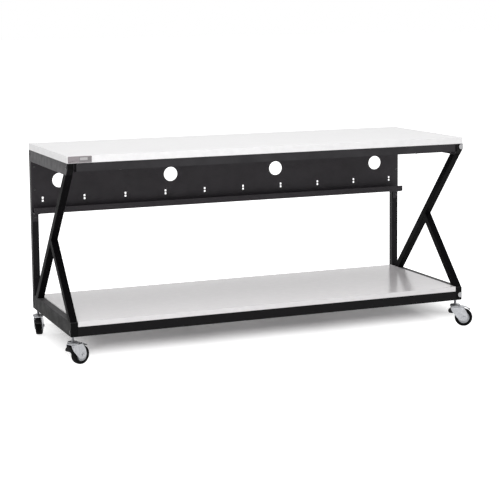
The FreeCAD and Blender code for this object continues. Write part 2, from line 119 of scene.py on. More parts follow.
def sums(tree, operation, first, second=0):
    """One step of arithmetic on a value in a tree."""
    return step(tree, "ShaderNodeMath", {0: first, 1: second},
                operation=operation).outputs["Value"]


def distance(tree, value, middle):
    return sums(tree, "ABSOLUTE", sums(tree, "SUBTRACT", value, middle))


def own_place(tree):
    """Where a point is on its own object, as X, Y and Z."""
    where = step(tree, "ShaderNodeTexCoord").outputs["Object"]
    return step(tree, "ShaderNodeSeparateXYZ", {"Vector": where}).outputs


def shade(colour, factor):
    return (*(level * factor for level in colour[:3]), 1)


def toned(tree, shader, value, first, second):
    """Let a value turn the shader's colour from one tone to another."""
    mix = step(tree, "ShaderNodeMix", {"Factor": value}, data_type="RGBA")
    mix.inputs["A"].default_value = first
    mix.inputs["B"].default_value = second
    tree.links.new(mix.outputs["Result"], shader.inputs["Base Color"])


def roughened(tree, shader, value, roughness, swing):
    """Let a value swing the shader's roughness down and up."""
    level = spread(tree, value, roughness - swing[0], roughness + swing[1])
    tree.links.new(level, shader.inputs["Roughness"])


def raised(tree, shader, value, strength, depth):
    """Turn a value into small relief on the shader."""
    bump = step(tree, "ShaderNodeBump",
                {"Height": value, "Strength": strength, "Distance": depth})
    tree.links.new(bump.outputs["Normal"], shader.inputs["Normal"])


def finish_coat(material, tree, shader, colour, roughness, clouds, tones, texture, depth):
    """Give a plain finish its slow change of tone and gloss and its fine texture."""
    toned(tree, shader, spread(tree, grain(tree, clouds, detail=4), 0, 1),
          shade(colour, tones[0]), shade(colour, tones[1]))
    roughened(tree, shader, grain(tree, clouds * 3), roughness, COAT_SWING)
    raised(tree, shader, grain(tree, texture, detail=2), RELIEF, depth)
    return material


def powder_coat(name, colour, roughness, gloss):
    """Baked powder: a faint orange peel over cloudy satin."""
    material, tree, shader = new_material(name, colour, roughness, 0, gloss)
    return finish_coat(material, tree, shader, colour, roughness, COAT_CLOUDS, COAT_TONES,
                       COAT_PEEL, PEEL_DEPTH)


def shade_beyond(material, axis, middle, reach, soft, colour):
    """Turn a coat to another colour past a distance from a middle along one axis."""
    tree = material.node_tree
    base = tree.nodes["Principled BSDF"].inputs["Base Color"]
    away = distance(tree, own_place(tree)[axis], middle)
    mix = step(tree, "ShaderNodeMix",
               {"Factor": spread(tree, away, 0, 1, reach, reach + soft)}, data_type="RGBA")
    tree.links.new(base.links[0].from_socket, mix.inputs["A"])
    mix.inputs["B"].default_value = colour
    tree.links.new(mix.outputs["Result"], base)


def clean_copy(node):
    """A welded-up copy of a CAD node's triangles, with its flat faces made whole."""
    shape = bmesh.new()
    shape.from_mesh(frame["nodes"][node].data)
    bmesh.ops.remove_doubles(shape, verts=shape.verts, dist=WELD_GAP)
    bmesh.ops.dissolve_limit(shape, angle_limit=FLAT, verts=shape.verts, edges=shape.edges,
                             delimit={"NORMAL"})
    return shape


def outer_corners(shape, wanted=lambda edge: True):
    """Edges where two faces meet at a clear outward corner."""
    return [edge for edge in shape.edges
            if edge.is_manifold and edge.is_convex and edge.calc_face_angle() > SHARP
            and wanted(edge)]


def direction(edge):
    return (edge.verts[1].co - edge.verts[0].co).normalized()


def lies_along(edge, line):
    return abs(direction(edge).dot(line)) > PARALLEL


def round_edges(shape, edges, radius, steps=CORNER_STEPS, clamp=True):
    bmesh.ops.bevel(shape, geom=edges, offset=radius, offset_type="OFFSET", segments=steps,
                    profile=0.5, affect="EDGES", clamp_overlap=clamp)


def mesh_object(shape, name, material, smooth=SHARP):
    """Put a finished shape into the scene, with soft shading between its sharp edges."""
    mesh = bpy.data.meshes.new(name)
    shape.to_mesh(mesh)
    shape.free()
    mesh.materials.append(material)
    mesh.shade_smooth()
    mesh.set_sharp_from_angle(angle=smooth)
    piece = bpy.data.objects.new(name, mesh)
    bpy.context.scene.collection.objects.link(piece)
    evened = piece.modifiers.new("even_shading", "WEIGHTED_NORMAL")
    evened.keep_sharp = True
    return piece


def stand_for(piece, node, body):
    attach(piece, body)
    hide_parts(node)
    return piece


def tube_piece(node, material):
    """A tube node with its long outer corners rolled round."""
    shape = clean_copy(node)
    run = direction(max(shape.edges, key=lambda edge: edge.calc_length()))
    corners = outer_corners(shape, lambda edge: lies_along(edge, run))
    round_edges(shape, corners, TUBE_CORNER)
    piece = mesh_object(shape, node + "_tube", material)
    return stand_for(piece, node, FRAME_BODY)


black_coat = powder_coat("black_powder_coat", COAT_BLACK, roughness=0.55, gloss=0.025)
# Painted light: the posts' and side top rails' coats are lighter tones of the black.
post_coat = powder_coat("post_powder_coat", COAT_POST, roughness=0.5, gloss=0.1)
side_coat = powder_coat("side_powder_coat", COAT_PAINTED_LIT, roughness=0.48, gloss=0.17)
base_coat = powder_coat("base_powder_coat", COAT_BLACK, roughness=0.55, gloss=0.05)
base_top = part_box("left_bottom_rail")[1].z
# Painted sheen: the top millimetre of the bottom rails turns paler, as the light from above
# would make it.
shade_beyond(base_coat, "Z", 0, base_top - PAINTED_SHEEN_DEPTH, PAINTED_SHEEN_DEPTH / 2, COAT_PAINTED_SHEEN)
for side in ("left", "right"):
    tube_piece(side + "_top_rail", side_coat)
    tube_piece(side + "_rear_post", post_coat)
    tube_piece(side + "_bottom_rail", base_coat)
    for part in ("diagonal_leg", "front_brace"):
        tube_piece(side + "_" + part, black_coat)

# ---- Cross rails ------------------------------------------------------------
# Four long rails join the sides, and short flat tubes carry the boards between
# them. They are black tube bolted through the side rails. The upper rails' coats
# are lighter tones of the black, painted light where the lamps fall, the front one
# lightest, and the front upper one's colour turns near black for its last
# centimetre at each end, beside its joints.
COAT_RAIL = (0.0032, 0.0029, 0.0034, 1)
JOINT_REACH = 0.01
JOINT_SOFT = 0.002
# Painted light: the front upper rail's colour is a lighter tone of the black, the lightest of
# all the rails.
COAT_FRONT = (0.037, 0.0355, 0.038, 1)
rail_coat = powder_coat("rail_powder_coat", COAT_RAIL, roughness=0.5, gloss=0.09)
# Painted light: the upper rails' coats are lighter tones of the black.
satin_painted_lit_coat = powder_coat("satin_painted_lit_powder_coat", COAT_PAINTED_LIT, roughness=0.45, gloss=0.25)
front_coat = powder_coat("front_powder_coat", COAT_FRONT, roughness=0.5, gloss=0.05)
front_low, front_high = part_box("front_top_rail")
front_middle = (front_low.x + front_high.x) / 2
# The front upper rail's colour turns near black for its last centimetre at each end.
shade_beyond(front_coat, "X", front_middle, front_high.x - front_middle - JOINT_REACH,
             JOINT_SOFT, COAT_BLACK)
tube_piece("front_top_rail", front_coat)
tube_piece("rear_top_rail", satin_painted_lit_coat)
for rail in ("front_bottom_rail", "rear_bottom_rail", "top_cross_rails",
             "shelf_cross_rails"):
    tube_piece(rail, rail_coat)

# ---- Worktop ----------------------------------------------------------------
# A particle board core pressed between sheets of pale laminate, with a white
# plastic band glued round its four edges and trimmed to a small radius.
TOP_PALE = (0.83, 0.825, 0.83, 1)
BAND_WHITE = (0.895, 0.89, 0.895, 1)
BAND_RADIUS = 0.0015
FLECKS, CLOUDS, SHEEN, PRESSING = 500, 3, 40, 120
FLECK_TONE, PRESSING_RELIEF, PRESSING_DEPTH = 0.965, 0.02, 0.00002
LAMINATE_SWING = (0.03, 0.04)
SPARK_CLOUDS, SPARKS, SPARK_DEPTH = 30, 1500, 0.00015
SPARK_TONES = (1, 0.93)


def laminate(name, colour, roughness):
    """Printed laminate: very faint flecks on a slow change of tone, pressed satin."""
    material, tree, shader = new_material(name, colour, roughness)
    flecks = spread(tree, grain(tree, FLECKS), 0, 0.5, start=0.4, end=0.6)
    clouds = spread(tree, grain(tree, CLOUDS, detail=2), 0, 0.5)
    toned(tree, shader, sums(tree, "ADD", flecks, clouds), colour,
          shade(colour, FLECK_TONE))
    roughened(tree, shader, grain(tree, SHEEN), roughness, LAMINATE_SWING)
    raised(tree, shader, grain(tree, PRESSING, detail=2), PRESSING_RELIEF, PRESSING_DEPTH)
    return material


def moulded_plastic(name, colour, roughness, gloss=0.5):
    """Plain moulded plastic with a fine spark-eroded texture."""
    material, tree, shader = new_material(name, colour, roughness, 0, gloss)
    return finish_coat(material, tree, shader, colour, roughness, SPARK_CLOUDS,
                       SPARK_TONES, SPARKS, SPARK_DEPTH)


def edge_band(node, material):
    """A band whose outer corners alone are rounded."""
    low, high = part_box(node)
    shape = clean_copy(node)

    def outside(edge):
        middle = (edge.verts[0].co + edge.verts[1].co) / 2
        return (min(middle.x - low.x, high.x - middle.x) < TOUCHING
                or min(middle.y - low.y, high.y - middle.y) < TOUCHING)

    round_edges(shape, outer_corners(shape, outside), BAND_RADIUS)
    piece = mesh_object(shape, node + "_band", material)
    return stand_for(piece, node, FRAME_BODY)


top_laminate = laminate("worktop_laminate", TOP_PALE, roughness=0.36)
white_band = moulded_plastic("white_edge_band", BAND_WHITE, roughness=0.4)
frame["nodes"]["worktop"].data.materials[0] = top_laminate
edge_band("worktop_edging", white_band)

# ---- Lower shelf ------------------------------------------------------------
# The same kind of board, thinner, with a glossier pale grey face. It lies on the
# bottom rails between the side frames and is screwed up from below.
SHELF_PALE = (0.85, 0.825, 0.835, 1)
# Painted shade: the shelf's edge band is the same white band made darker, for the shade under
# the worktop.
SHELF_BAND_SHADED = (0.77, 0.755, 0.763, 1)
shelf_laminate = laminate("shelf_laminate", SHELF_PALE, roughness=0.19)
shaded_shelf_band = moulded_plastic("shaded_shelf_edge_band", SHELF_BAND_SHADED, roughness=0.4)
frame["nodes"]["lower_shelf"].data.materials[0] = shelf_laminate
edge_band("shelf_edging", shaded_shelf_band)

# ---- Cable panel ------------------------------------------------------------
# One sheet of steel across the back, folded forward along its foot into a tray
# with a short lip. It is punched for cables and lanced for cable ties.
BEND_RADIUS = 0.0024
PANEL_COLOUR = (0.015, 0.0125, 0.0155, 1)
X_AXIS = Vector((1, 0, 0))
panel_coat = powder_coat("panel_powder_coat", PANEL_COLOUR, roughness=0.5, gloss=0.28)
panel_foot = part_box("cable_panel")[0].z
panel_shape = clean_copy("cable_panel")
folds = outer_corners(panel_shape, lambda edge: lies_along(edge, X_AXIS)
                      and abs(edge.verts[0].co.z - panel_foot) < TOUCHING)
round_edges(panel_shape, folds, BEND_RADIUS)
panel = mesh_object(panel_shape, "cable_panel_sheet", panel_coat)
stand_for(panel, "cable_panel", FRAME_BODY)

# ---- Blank badge plate ------------------------------------------------------
# A thin brushed plate glued to the worktop's edge at the front left. It is bare:
# a grey plate with a darker field in its right half and one pale panel in that.
BADGE_GREY = (0.275, 0.25, 0.26, 1)
BADGE_DARK = (0.2, 0.19, 0.195, 1)
BADGE_PALE = (0.43, 0.42, 0.425, 1)
BADGE_CORNER = 0.003
BADGE_RIM = 0.0035
BADGE_SINK = 0.0005
INLAY_SINK = 0.0001
ROUNDED_STEPS = 5
Y_AXIS = Vector((0, 1, 0))
BRUSH_LINES, BRUSH_PULL, BRUSH_TONE = 60, (1, 1, 30), 0.85
BRUSH_SWING, BRUSH_RELIEF, BRUSH_DEPTH = (0.06, 0.08), 0.2, 0.0001
# Each field: its colour, how far its face lies behind the plate's, and its left,
# right, lower and upper sides as shares of the plate.
BADGE_FIELDS = (("badge_field", BADGE_DARK, 0.0002, 0.47, 0.958, 0.16, 0.84),
                ("badge_panel", BADGE_PALE, 0.00005, 0.5, 0.82, 0.38, 0.8))


def brushed_metal(name, colour, roughness):
    """Lacquered metal with fine level brush lines."""
    material, tree, shader = new_material(name, colour, roughness, metallic=0.4)
    lines = grain(tree, BRUSH_LINES, stretch=BRUSH_PULL)
    toned(tree, shader, spread(tree, lines, 0, 1), colour, shade(colour, BRUSH_TONE))
    roughened(tree, shader, lines, roughness, BRUSH_SWING)
    raised(tree, shader, lines, BRUSH_RELIEF, BRUSH_DEPTH)
    return material


def sunk_panel(low, high, corner, rim, sink):
    """A thin plate facing the front, with rounded corners and a sunk panel in a rim."""
    shape = bmesh.new()
    middle = (low + high) / 2
    bmesh.ops.create_cube(shape, size=1, matrix=Matrix.Translation(middle)
                          @ Matrix.Diagonal(Vector((*(high - low), 1))))
    corners = [edge for edge in shape.edges if lies_along(edge, Y_AXIS)]
    round_edges(shape, corners, corner, ROUNDED_STEPS)
    face = min(shape.faces, key=lambda item: item.calc_center_median().y)
    bmesh.ops.inset_region(shape, faces=[face], thickness=rim)
    bmesh.ops.inset_region(shape, faces=[face], thickness=sink, depth=-sink)
    return shape


badge_low, badge_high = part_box("blank_badge_plate")
badge = mesh_object(sunk_panel(badge_low, badge_high, BADGE_CORNER, BADGE_RIM, BADGE_SINK),
                    "badge_plate", brushed_metal("badge_metal", BADGE_GREY, roughness=0.4))
stand_for(badge, "blank_badge_plate", FRAME_BODY)
badge_size = badge_high - badge_low
for name, colour, depth, left, right, under, over in BADGE_FIELDS:
    low = badge_low + Vector((left * badge_size.x, depth, under * badge_size.z))
    high = badge_high - Vector(((1 - right) * badge_size.x, 0, (1 - over) * badge_size.z))
    field = mesh_object(
        sunk_panel(low, high, BADGE_CORNER / 2, BADGE_RIM / 4, INLAY_SINK), name,
        brushed_metal(name + "_metal", colour, roughness=0.38))
    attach(field, FRAME_BODY)

# ---- Tray brackets ----------------------------------------------------------
# Two short angles of bent strip carry the tray's ends. Each is bolted to the face
# of its post and to the underside of the tray, and coated like the panel.
BRACKET_RADIUS = 0.0012
for side in ("left", "right"):
    node = side + "_tray_bracket"
    bracket_shape = clean_copy(node)
    long_corners = outer_corners(bracket_shape, lambda edge: lies_along(edge, X_AXIS))
    round_edges(bracket_shape, long_corners, BRACKET_RADIUS)
    stand_for(mesh_object(bracket_shape, node + "_angle", panel_coat), node, FRAME_BODY)

# ---- Screws and bolts -------------------------------------------------------
# Black button heads with a round socket: bolts through the side rails, screws up
# into the boards, and small bolts that hold the panel and the brackets.
SCREW_BLACK = (0.02, 0.02, 0.022, 1)
HEAD_TALL = 0.0025
HEAD_SIDES, SHANK_SIDES = 20, 12
ROUND_END = 7
# Each step of the head: how far it is drawn out, in heads, and how much it narrows.
DOME = ((0.18, 0.94), (0.18, 0.85), (0.14, 0.68))
SOCKET = ((0.0, 0.8), (-0.5, 0.92))
SCREW = {"Head radius": 0.005, "Shank radius": 0.0025}
RAIL_BOLT = {"Head radius": 0.007, "Shank radius": 0.004}


def new_tree(name, sizes):
    """A geometry tree that takes a mesh and named sizes, and its input node's outputs."""
    tree = bpy.data.node_groups.new(name, "GeometryNodeTree")
    tree.interface.new_socket("Mesh", in_out="INPUT", socket_type="NodeSocketGeometry")
    for size, value in sizes.items():
        socket = tree.interface.new_socket(size, in_out="INPUT",
                                           socket_type="NodeSocketFloat")
        socket.default_value = value
    tree.interface.new_socket("Mesh", in_out="OUTPUT", socket_type="NodeSocketGeometry")
    return tree, step(tree, "NodeGroupInput").outputs


def close_tree(tree, made, material):
    """Realize what was made, give it its material and pass it out."""
    real = step(tree, "GeometryNodeRealizeInstances", {"Geometry": made})
    dressed = step(tree, "GeometryNodeSetMaterial",
                   {"Geometry": real.outputs["Geometry"], "Material": material})
    step(tree, "NodeGroupOutput", {"Mesh": dressed.outputs["Geometry"]})


def plain_mesh(piece):
    """The mesh that a piece's modifiers give."""
    ready = piece.evaluated_get(bpy.context.evaluated_depsgraph_get())
    return bpy.data.meshes.new_from_object(ready)


def grown(name, seeds, tree, sizes=None, smooth=SHARP):
    """Run a tree on its seed points and keep the plain mesh that comes out."""
    mesh = bpy.data.meshes.new(name)
    seeds.to_mesh(mesh)
    seeds.free()
    piece = bpy.data.objects.new(name, mesh)
    bpy.context.scene.collection.objects.link(piece)
    maker = piece.modifiers.new("maker", "NODES")
    maker.node_group = tree
    for socket in tree.interface.items_tree:
        if socket.name in (sizes or {}):
            maker[socket.identifier] = sizes[socket.name]
    made = plain_mesh(piece)
    piece.modifiers.remove(maker)
    piece.data = made
    made.shade_smooth()
    made.set_sharp_from_angle(angle=smooth)
    return piece


def taken(tree, name, kind="FLOAT_VECTOR"):
    """A seed point's own value, by its name."""
    return step(tree, "GeometryNodeInputNamedAttribute", {"Name": name},
                data_type=kind).outputs["Attribute"]


def turned_to(tree, vector, axis="Z"):
    """The turn that brings an item's own axis round to a vector."""
    return step(tree, "FunctionNodeAlignRotationToVector", {"Vector": vector},
                axis=axis).outputs["Rotation"]


def rod(tree, sides, radius, length):
    """A closed round bar along Z, and its top face."""
    bar = step(tree, "GeometryNodeMeshCylinder",
               {"Vertices": sides, "Radius": radius, "Depth": length}, fill_type="NGON")
    return bar.outputs["Mesh"], bar.outputs["Top"]


def set_out(tree, points, item, **placing):
    """A copy of an item on every point."""
    return step(tree, "GeometryNodeInstanceOnPoints",
                {"Points": points, "Instance": item, **placing}).outputs["Instances"]


def button_head_tree(material):
    """A domed head with a sunk socket, and its shank, set on every seed point."""
    tree, sizes = new_tree("button_heads", {**SCREW, "Head height": HEAD_TALL})
    shape, top = rod(tree, HEAD_SIDES, sizes["Head radius"], sizes["Head height"])
    for rise, width in DOME + SOCKET:
        drawn = step(tree, "GeometryNodeExtrudeMesh",
                     {"Mesh": shape, "Selection": top,
                      "Offset Scale": sums(tree, "MULTIPLY", sizes["Head height"], rise)},
                     mode="FACES")
        shape = step(tree, "GeometryNodeScaleElements",
                     {"Geometry": drawn.outputs["Mesh"], "Selection": drawn.outputs["Top"],
                      "Scale": width}, domain="FACE").outputs["Geometry"]
        top = drawn.outputs["Top"]
    shank, _ = rod(tree, SHANK_SIDES, sizes["Shank radius"], 1)
    below = step(tree, "GeometryNodeTransform",
                 {"Geometry": shank, "Translation": (0, 0, -0.5)}).outputs["Geometry"]
    facing = turned_to(tree, taken(tree, "facing"))
    length = step(tree, "ShaderNodeCombineXYZ",
                  {"X": 1, "Y": 1, "Z": taken(tree, "reach", "FLOAT")}).outputs["Vector"]
    both = step(tree, "GeometryNodeJoinGeometry")
    for copies in (set_out(tree, sizes["Mesh"], shape, Rotation=facing),
                   set_out(tree, sizes["Mesh"], below, Rotation=facing, Scale=length)):
        tree.links.new(copies, both.inputs["Geometry"])
    close_tree(tree, both.outputs["Geometry"], material)
    return tree


def islands(shape):
    """The separate solids of one shape, as lists of their vertices."""
    seen, found = set(), []
    for first in shape.verts:
        if first in seen:
            continue
        group = [first]
        seen.add(first)
        for vert in group:
            near = [edge.other_vert(vert) for edge in vert.link_edges]
            group.extend(other for other in near if other not in seen)
            seen.update(near)
        found.append(group)
    return found


def fixing_seeds(node):
    """A seed point at each fixing's seat, with the way its head faces and its length.

    The head is at the end with the widest ring of points."""
    shape = clean_copy(node)
    seeds = bmesh.new()
    facing = seeds.verts.layers.float_vector.new("facing")
    reach = seeds.verts.layers.float.new("reach")
    for group in islands(shape):
        low = Vector([min(vert.co[i] for vert in group) for i in range(3)])
        high = Vector([max(vert.co[i] for vert in group) for i in range(3)])
        middle = (low + high) / 2
        wide = {}
        for i in range(3):
            for way, end in ((-1, low[i]), (1, high[i])):
                around = [(vert.co - middle).length_squared - (end - middle[i]) ** 2
                          for vert in group if abs(vert.co[i] - end) < WELD_GAP]
                wide[(i, way)] = max(around) if len(around) >= ROUND_END else -1
        axis = max(range(3), key=lambda i: min(wide[(i, -1)], wide[(i, 1)]))
        way = 1 if wide[(axis, 1)] > wide[(axis, -1)] else -1
        point = middle.copy()
        point[axis] = (high[axis] if way > 0 else low[axis]) - way * HEAD_TALL
        seed = seeds.verts.new(point)
        out = Vector((0, 0, 0))
        out[axis] = way
        seed[facing] = out
        seed[reach] = high[axis] - low[axis] - HEAD_TALL
    shape.free()
    return seeds


screw_black = moulded_plastic("black_oxide", SCREW_BLACK, roughness=0.35)
fixing_tree = button_head_tree(screw_black)
for node, size in (("frame_bolts", RAIL_BOLT), ("worktop_screws", SCREW),
                   ("shelf_screws", SCREW), ("panel_bolts", SCREW),
                   ("bracket_bolts", SCREW)):
    fixings = grown(node + "_heads", fixing_seeds(node), fixing_tree, size)
    stand_for(fixings, node, FRAME_BODY)

# ---- Rail plugs and corner caps ---------------------------------------------
# Black plugs are pressed into the side rails' open ends, and a black filler closes
# the slant under each front upper one. Small pale caps mark the right front corner.
PLUG_BLACK = (0.0022, 0.0022, 0.0024, 1)
CAP_GREY = (0.46, 0.46, 0.47, 1)
MM = 0.001
PLUG_RIM = 0.003
PLUG_SINK = 0.0008
PLUG_CORNER = 0.0005
DISHED_AREA = 0.0001
FILLER = ((-330.8, 804), (-318.5, 790.1), (-316.3, 792.1), (-328.6, 806))
TUBE_WALL = 2.1
CAP_WIDE, CAP_ARC = 16.0, 12
CAP_CORNER = 0.001
plug_plastic = moulded_plastic("plug_plastic", PLUG_BLACK, roughness=0.55, gloss=0.06)
cap_plastic = moulded_plastic("cap_plastic", CAP_GREY, roughness=0.35)


def joined(*shapes):
    """Several shapes put into one."""
    whole = bmesh.new()
    for shape in shapes:
        part = bpy.data.meshes.new("part")
        shape.to_mesh(part)
        shape.free()
        whole.from_mesh(part)
        bpy.data.meshes.remove(part)
    return whole


def prism(outline, along):
    """A solid made by pushing a flat outline along a vector, all in millimetres."""
    shape = bmesh.new()
    face = shape.faces.new([shape.verts.new(Vector(point) * MM) for point in outline])
    made = bmesh.ops.extrude_face_region(shape, geom=[face])
    far = [item for item in made["geom"] if isinstance(item, bmesh.types.BMVert)]
    bmesh.ops.translate(shape, verts=far, vec=Vector(along) * MM)
    bmesh.ops.recalc_face_normals(shape, faces=shape.faces)
    return shape


def dished(shape, corner, rim, sink):
    """Small blocks with rounded corners and a shallow dish in their end faces."""
    round_edges(shape, outer_corners(shape), corner)
    for face in [item for item in shape.faces
                 if abs(item.normal.y) > PARALLEL and item.calc_area() > DISHED_AREA]:
        bmesh.ops.inset_region(shape, faces=[face], thickness=rim)
        bmesh.ops.inset_region(shape, faces=[face], thickness=sink, depth=-sink)
    return shape


plugs = [dished(clean_copy("rail_plugs"), PLUG_CORNER, PLUG_RIM, PLUG_SINK)]
for side in ("left", "right"):
    low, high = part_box(side + "_top_rail")
    room = (high.x - low.x) / MM - 2 * TUBE_WALL
    plugs.append(prism([(low.x / MM + TUBE_WALL, y, z) for y, z in FILLER], (room, 0, 0)))
stand_for(mesh_object(joined(*plugs), "pressed_plugs", plug_plastic), "rail_plugs",
          FRAME_BODY)

cap_low, cap_high = [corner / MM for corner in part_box("corner_caps")]
cap_half = (cap_high.x - cap_low.x) / 2
caps = []
for middle in (cap_low.z + cap_half, cap_high.z - cap_half):
    outline = [(cap_high.x, cap_low.y, middle - cap_half)]
    for k in range(CAP_ARC + 1):
        angle = math.radians(270) - math.pi * k / CAP_ARC
        outline.append((cap_high.x - CAP_WIDE + cap_half * (1 + math.cos(angle)), cap_low.y,
                        middle + cap_half * math.sin(angle)))
    outline.append((cap_high.x, cap_low.y, middle + cap_half))
    caps.append(dished(prism(outline, (0, cap_high.y - cap_low.y, 0)), CAP_CORNER,
                       PLUG_RIM, PLUG_SINK))
stand_for(mesh_object(joined(*caps), "pale_caps", cap_plastic), "corner_caps", FRAME_BODY)

# ---- Weld beads -------------------------------------------------------------
# Where a post, leg or brace meets a rail or the leg, a short rippled bead of weld
# fills the corner under the powder coat, one ripple for each dab of the torch.
BEAD_PITCH = 0.0017
BEAD_RADIUS = 0.0021
BEAD_INSET = 0.0026
BEAD_FLAT = (1, 1, 0.6)
TUBE_WIDE = 0.028


def bead_tree(material):
    """A flattened ball for every step along each seed edge, turned to follow it."""
    tree, sizes = new_tree("weld_beads", {"Pitch": BEAD_PITCH, "Radius": BEAD_RADIUS})
    path = step(tree, "GeometryNodeMeshToCurve", {"Mesh": sizes["Mesh"]})
    paced = step(tree, "GeometryNodeResampleCurve",
                 {"Curve": path.outputs["Curve"], "Length": sizes["Pitch"]}, mode="LENGTH")
    along = turned_to(tree, step(tree, "GeometryNodeInputTangent").outputs["Tangent"])
    dab = step(tree, "GeometryNodeMeshUVSphere",
               {"Segments": 10, "Rings": 5, "Radius": sizes["Radius"]})
    ripples = set_out(tree, paced.outputs["Curve"], dab.outputs["Mesh"], Rotation=along,
                      Scale=BEAD_FLAT)
    close_tree(tree, ripples, material)
    return tree


bead_seeds = bmesh.new()
for side in ("left", "right"):
    rail_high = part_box(side + "_top_rail")[1]
    for part in ("rear_post", "diagonal_leg", "front_brace"):
        tube = clean_copy(side + "_" + part)
        for edge in tube.edges:
            first, last = sorted((vert.co.copy() for vert in edge.verts),
                                 key=lambda point: point.x)
            flush = rail_high.y - first.y < BEAD_RADIUS
            if last.x - first.x > TUBE_WIDE and not flush:
                inset = Vector((BEAD_INSET, 0, 0))
                bead_seeds.edges.new([bead_seeds.verts.new(point)
                                      for point in (first + inset, last - inset)])
        tube.free()
beads = grown("weld_beads", bead_seeds, bead_tree(black_coat), smooth=math.radians(60))
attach(beads, FRAME_BODY)

# ---- Caster stems and nuts --------------------------------------------------
# Each caster hangs on a threaded zinc-plated stem that goes up through the side
# rail and is held by two nuts. A spun cup on the stem covers the swivel balls.
ZINC = (0.36, 0.365, 0.38, 1)
MOTTLE, MOTTLE_TONE, DULLING, ZINC_SWING = 130, 0.82, 60, (0.08, 0.1)
PITS, PIT_RELIEF, PIT_DEPTH = 500, 0.1, 0.0001
CORNERS = ("front_left", "front_right", "rear_left", "rear_right")
TURN_STEPS = 48
# Profiles of turned parts are (radius, height) in millimetres.
RIVET_AND_CUP = ((0, 86), (7.6, 86), (7.6, 88.2), (5, 88.2), (5, 97.4), (22.6, 97.4),
                 (22.6, 97), (24, 97), (24, 97.9), (23.2, 99.2), (20.5, 100.8), (17, 101.6),
                 (13, 102.3), (6.4, 102.6))
CREST, THREAD_DEPTH = 6.0, 0.25
THREAD_LOW, THREAD_HIGH, THREAD_STEP, THREAD_POINTS = 103.2, 120.6, 0.75, 22
TIP_TAPER, TIP_TALL = 0.8, 1
NUT_CHAMFER = 0.0006


def plated_steel(name, colour, roughness):
    """Bright zinc plate, faintly mottled, dulled in places and finely pitted."""
    material, tree, shader = new_material(name, colour, roughness, metallic=1)
    toned(tree, shader, spread(tree, grain(tree, MOTTLE, detail=5), 0, 1), colour,
          shade(colour, MOTTLE_TONE))
    roughened(tree, shader, grain(tree, DULLING, detail=4), roughness, ZINC_SWING)
    raised(tree, shader, grain(tree, PITS), PIT_RELIEF, PIT_DEPTH)
    return material


def spun(profile, steps=TURN_STEPS):
    """A solid turned round local Z from (radius, height) points in millimetres."""
    shape = bmesh.new()
    rings = []
    for radius, height in profile:
        around = steps if radius else 1
        rings.append([shape.verts.new((radius * MM * math.cos(math.tau * k / steps),
                                       radius * MM * math.sin(math.tau * k / steps),
                                       height * MM)) for k in range(around)])
    for lower, upper in zip(rings, rings[1:]):
        for k in range(steps):
            corners = [lower[k % len(lower)], lower[(k + 1) % len(lower)],
                       upper[(k + 1) % len(upper)], upper[k % len(upper)]]
            shape.faces.new(list(dict.fromkeys(corners)))
    for ring in (rings[0], rings[-1]):
        if len(ring) > 1:
            shape.faces.new(ring)
    bmesh.ops.recalc_face_normals(shape, faces=shape.faces)
    return shape


def moved(shape, matrix):
    bmesh.ops.transform(shape, matrix=matrix, verts=shape.verts)
    return shape


def joint_named(name):
    return next(joint for joint in frame["joints"] if joint["name"] == name)


def corner_matrix(corner):
    """Places a caster drawn with its stem on Z and its wheel trailing along +X."""
    stem = Vector(joint_named(corner + "_swivel")["pos_m"])
    wheel = Vector(joint_named(corner + "_wheel_spin")["pos_m"])
    turn = math.atan2(wheel.y - stem.y, wheel.x - stem.x)
    return Matrix.Translation((stem.x, stem.y, 0)) @ Matrix.Rotation(turn, 4, "Z")


zinc = plated_steel("zinc_plate", ZINC, roughness=0.28)
stem_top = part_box("caster_front_left_stem")[1].z / MM
thread = [(CREST - (k % 2) * THREAD_DEPTH, THREAD_LOW + k * THREAD_STEP)
          for k in range(THREAD_POINTS)]
stem_profile = [*RIVET_AND_CUP, *thread, (CREST, THREAD_HIGH),
                (CREST, stem_top - TIP_TALL), (CREST - TIP_TAPER, stem_top), (0, stem_top)]
for corner in CORNERS:
    stem = mesh_object(moved(spun(stem_profile), corner_matrix(corner)), corner + "_stem",
                       zinc)
    stand_for(stem, "caster_" + corner + "_stem", FRAME_BODY)
nut_shape = clean_copy("stem_nuts")
round_edges(nut_shape, outer_corners(nut_shape), NUT_CHAMFER, steps=2)
stand_for(mesh_object(nut_shape, "chamfered_nuts", zinc), "stem_nuts", FRAME_BODY)

# ---- Caster forks -----------------------------------------------------------
# Each fork is pressed from zinc-plated sheet: a flat crown rolls over into two side
# plates, with a race of balls on top. A curved guard over the wheel's back has a lip
# of black plastic on its end.
FORK_WIDE, SHEET, CROWN, CROWN_THICK, CROWN_ROUND = 38.0, 2.5, 92.0, 3.0, 6.0
# Outlines and places are (run, height) in millimetres, seen from the caster's side.
PLATE = ((-20, 92), (-19.6, 80), (-17, 73), (-11, 64), (16, 30), (22, 26.2), (30, 25),
         (42, 25), (49, 28), (54, 33.5), (56.4, 41), (56.4, 51), (54, 61), (49.4, 70.5),
         (44, 78.5), (39, 85), (36, 92))
GUARD_TOP = ((26, 92), (38, 91.4), (46, 90.4), (53, 87.6), (59, 83.6), (63.5, 78.6))
GUARD_ACROSS = ((-13, -0.9), (-12.4, -0.2), (-9, 0), (-5, 0), (0, 0), (5, 0), (9, 0),
                (12.4, -0.2), (13, -0.9))
GUARD_THICK = 1.6
LIP_AT = (63.6, 78.2)
LIP = ((0, -13), (2, -13), (3, -12), (3, 12), (2, 13), (0, 13))
AXLE_AT = (38, 40)
BOSS = ((4.4, 0), (10, 0), (9.4, 0.9), (8, 1.2), (4.4, 1.2))
PIN_AT = (-12, 80)
PIN = ((0, -20), (3, -20), (3, 20), (0, 20))
